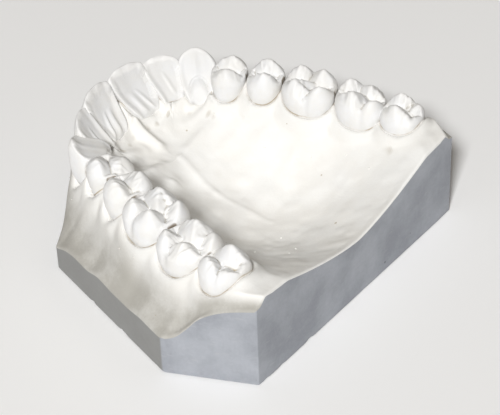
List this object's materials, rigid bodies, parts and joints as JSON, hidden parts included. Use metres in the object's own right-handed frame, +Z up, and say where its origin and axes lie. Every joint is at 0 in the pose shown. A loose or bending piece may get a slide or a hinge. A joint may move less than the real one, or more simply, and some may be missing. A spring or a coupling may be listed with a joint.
{
  "type": "dental study cast",
  "caption": "Upper jaw dental study cast: trimmed plaster base, gums and palate, and a full arch of separate teeth in sockets.",
  "frame": {"origin": "centre of the underside, at the middle of the overall box", "axes": "+Z up, out of the biting surfaces; +X to the patient's right; -Y towards the incisors; back face towards +Y"},
  "size_m": [0.0718, 0.064, 0.0233],
  "materials": {
    "base_plaster": "matt, wet-trimmed plaster with small air bubbles",
    "gum_plaster": "matt ivory plaster, smooth on the palate, trimmed flat on its outer faces",
    "tooth_stone": "matt white dental stone with fine brown crevice lines round the necks"
  },
  "bodies": {
    "root": {"base": "base_plaster", "gum_and_palate": "gum_plaster", "right_central_incisor": "tooth_stone", "right_lateral_incisor": "tooth_stone", "right_canine": "tooth_stone", "right_first_premolar": "tooth_stone", "right_second_premolar": "tooth_stone", "right_first_molar": "tooth_stone", "right_second_molar": "tooth_stone", "right_third_molar": "tooth_stone", "left_central_incisor": "tooth_stone", "left_lateral_incisor": "tooth_stone", "left_canine": "tooth_stone", "left_first_premolar": "tooth_stone", "left_second_premolar": "tooth_stone", "left_first_molar": "tooth_stone", "left_second_molar": "tooth_stone", "left_third_molar": "tooth_stone"}
  },
  "joints": []
}
